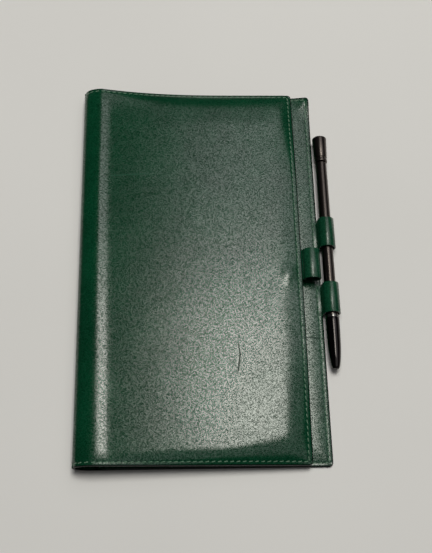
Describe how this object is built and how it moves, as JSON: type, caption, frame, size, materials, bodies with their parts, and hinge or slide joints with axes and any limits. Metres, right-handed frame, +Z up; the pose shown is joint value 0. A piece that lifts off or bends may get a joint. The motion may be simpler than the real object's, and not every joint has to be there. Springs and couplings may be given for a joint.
{
  "type": "agenda holder",
  "caption": "Folded leather agenda cover with an insert booklet in its pockets and a slim twist pen held in leather loops at the fore edge.",
  "frame": {"origin": "on the surface that it lies on, under the middle of its bounding box", "axes": "+X from the spine to the pen, +Y up the page along the spine and the pen, +Z up through the closed cover"},
  "size_m": [0.109, 0.17, 0.0098],
  "materials": {
    "outer_leather": "glossy fine-grained green calf",
    "lining_leather": "smooth green, satin",
    "loop_leather": "glossy dark green",
    "board": "plain",
    "card": "matt",
    "paper": "matt",
    "thread": "waxed linen",
    "pen_metal": "dark brushed gunmetal",
    "nose_metal": "polished, near black",
    "brass": "drawn tube",
    "steel": "bright"
  },
  "bodies": {
    "cover_back": {"back_leather": "outer_leather", "back_stiffener": "board", "back_lining": "lining_leather", "back_pocket": "lining_leather", "upper_pen_loop": "loop_leather", "lower_pen_loop": "loop_leather", "insert_back_card": "card", "back_leaves": "paper", "insert_thread": "thread"},
    "cover_spine": {"spine_leather": "outer_leather", "spine_lining": "lining_leather"},
    "cover_front": {"front_leather": "outer_leather", "front_stiffener": "board", "front_lining": "lining_leather", "front_pocket": "lining_leather", "closing_loop": "loop_leather"},
    "insert_front": {"insert_front_card": "card", "front_leaves": "paper"},
    "pen": {"pen_barrel": "pen_metal", "pen_ring": "steel", "pen_nose": "nose_metal", "pen_spring": "steel"},
    "knob": {"pen_knob": "pen_metal", "twist_spindle": "steel"},
    "refill": {"refill_tube": "brass", "refill_tip": "steel"}
  },
  "joints": [
    {"name": "cover_fold", "type": "hinge", "parent": "cover_back", "child": "cover_spine", "pos_m": [-0.05321, 0, 0.00131], "axis": [0, -1, 0], "range_deg": [0, 90]},
    {"name": "front_fold", "type": "hinge", "parent": "cover_spine", "child": "cover_front", "pos_m": [-0.05321, 0, 0.00849], "axis": [0, -1, 0], "range_deg": [0, 90]},
    {"name": "insert_turn", "type": "hinge", "parent": "cover_back", "child": "insert_front", "pos_m": [-0.04752, 0, 0.0049], "axis": [0, -1, 0], "range_deg": [0, 180]},
    {"name": "pen_slide", "type": "slide", "parent": "cover_back", "child": "pen", "axis": [0, 1, 0], "range_m": [-0.033, 0.075]},
    {"name": "knob_twist", "type": "hinge", "parent": "pen", "child": "knob", "pos_m": [0.05087, 0, 0.00365], "axis": [0, 1, 0], "range_deg": [0, 180]},
    {"name": "refill_slide", "type": "slide", "parent": "pen", "child": "refill", "axis": [0, -1, 0], "range_m": [0, 0.0025], "deforming": ["pen_spring"]}
  ],
  "couplings": [
    {"joint": "front_fold", "follows": "cover_fold", "ratio": 1},
    {"joint": "insert_turn", "follows": "cover_fold", "ratio": 2},
    {"joint": "knob_twist", "follows": "refill_slide", "rad_per_m": 1256.6}
  ]
}
